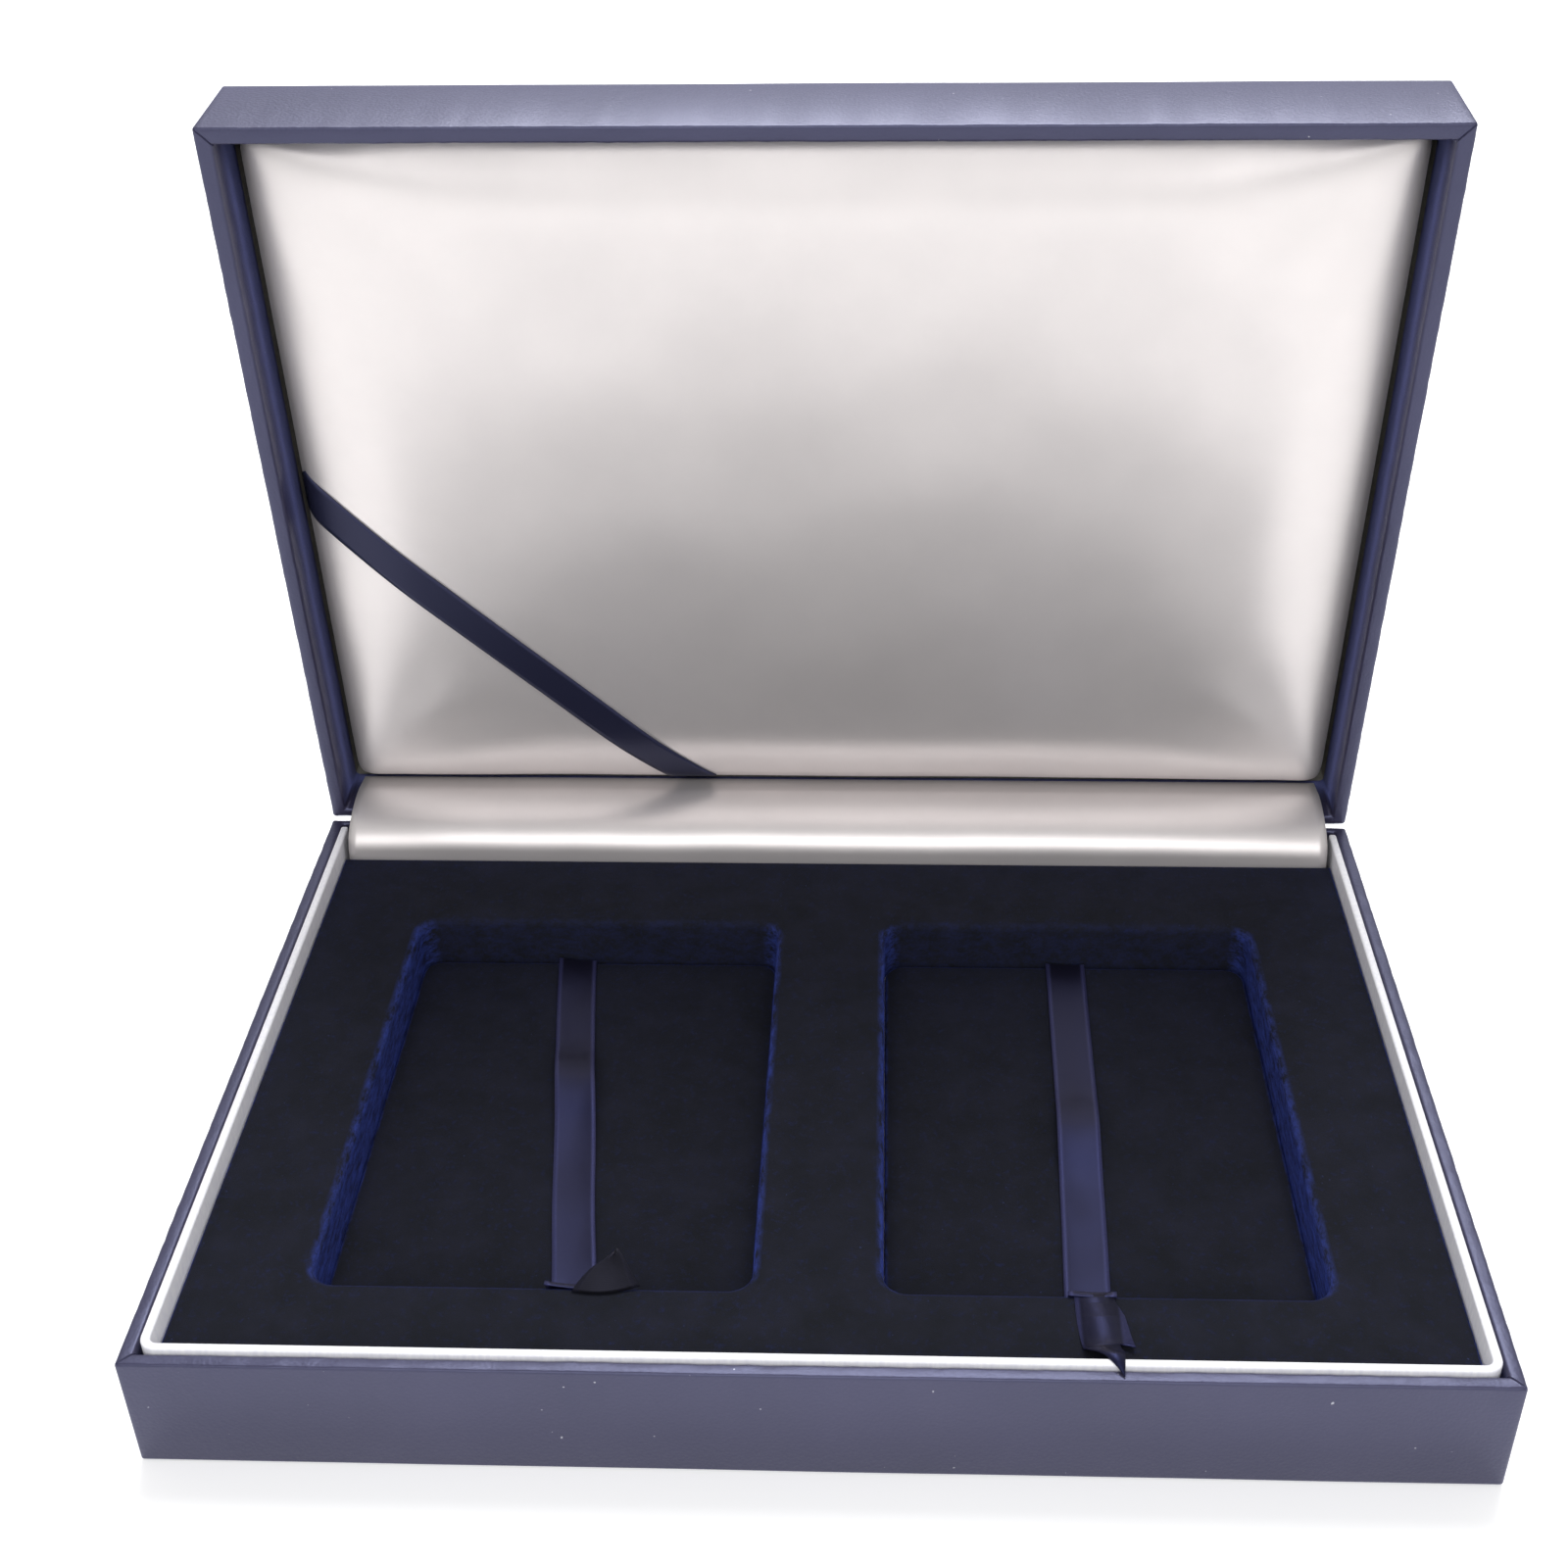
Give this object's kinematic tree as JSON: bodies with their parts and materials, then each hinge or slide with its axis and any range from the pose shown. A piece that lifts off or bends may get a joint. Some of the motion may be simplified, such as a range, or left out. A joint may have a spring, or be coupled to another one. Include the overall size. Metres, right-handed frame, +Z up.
{
  "type": "coin slab display box",
  "caption": "Hinged leatherette box that stands open and holds graded coin slabs in velvet recesses with pull ribbons, under a padded satin lid.",
  "frame": {"origin": "centre of the base's underside, where the box rests", "axes": "+X along the box's width to the right, +Y to the back where the lid is hinged, +Z up"},
  "size_m": [0.19, 0.1506, 0.1534],
  "materials": {
    "leatherette": "embossed navy leatherette, satin",
    "board": "grey bookbinding board",
    "lining": "dark lining sheet",
    "collar": "smooth white card",
    "foam": "open foam sheet",
    "velvet": "short navy pile",
    "satin": "silver satin",
    "ribbon": "navy satin ribbon",
    "certificate_ribbon": "navy satin ribbon",
    "steel": "plated sheet steel"
  },
  "bodies": {
    "base": {"base_bottom_board": "board", "base_front_board": "board", "base_back_board": "board", "base_left_board": "board", "base_right_board": "board", "base_leatherette": "leatherette", "base_underside_sheet": "lining", "base_collar": "collar", "base_floor_foam": "foam", "insert_core": "board", "insert_velvet": "velvet", "left_floor_card": "board", "right_floor_card": "board", "left_floor_velvet": "velvet", "right_floor_velvet": "velvet", "left_pull_ribbon": "ribbon", "right_pull_ribbon": "ribbon", "left_hinge_base_leaf": "steel", "right_hinge_base_leaf": "steel", "left_hinge_pin": "steel", "right_hinge_pin": "steel", "left_hinge_spring": "steel", "right_hinge_spring": "steel", "base_hinge_rivets": "steel", "hinge_satin_strip": "satin"},
    "lid": {"lid_top_board": "board", "lid_front_board": "board", "lid_back_board": "board", "lid_left_board": "board", "lid_right_board": "board", "lid_leatherette": "leatherette", "lid_pad_card": "board", "lid_pad_foam": "foam", "lid_pad_satin": "satin", "certificate_ribbon": "certificate_ribbon", "left_hinge_lid_leaf": "steel", "right_hinge_lid_leaf": "steel", "lid_hinge_rivets": "steel"}
  },
  "joints": [
    {"name": "lid_hinge", "type": "hinge", "parent": "base", "child": "lid", "pos_m": [0, 0.0654, 0.02035], "axis": [1, 0, 0], "range_deg": [0, 85], "deforming": ["hinge_satin_strip", "left_hinge_spring", "right_hinge_spring"]}
  ]
}
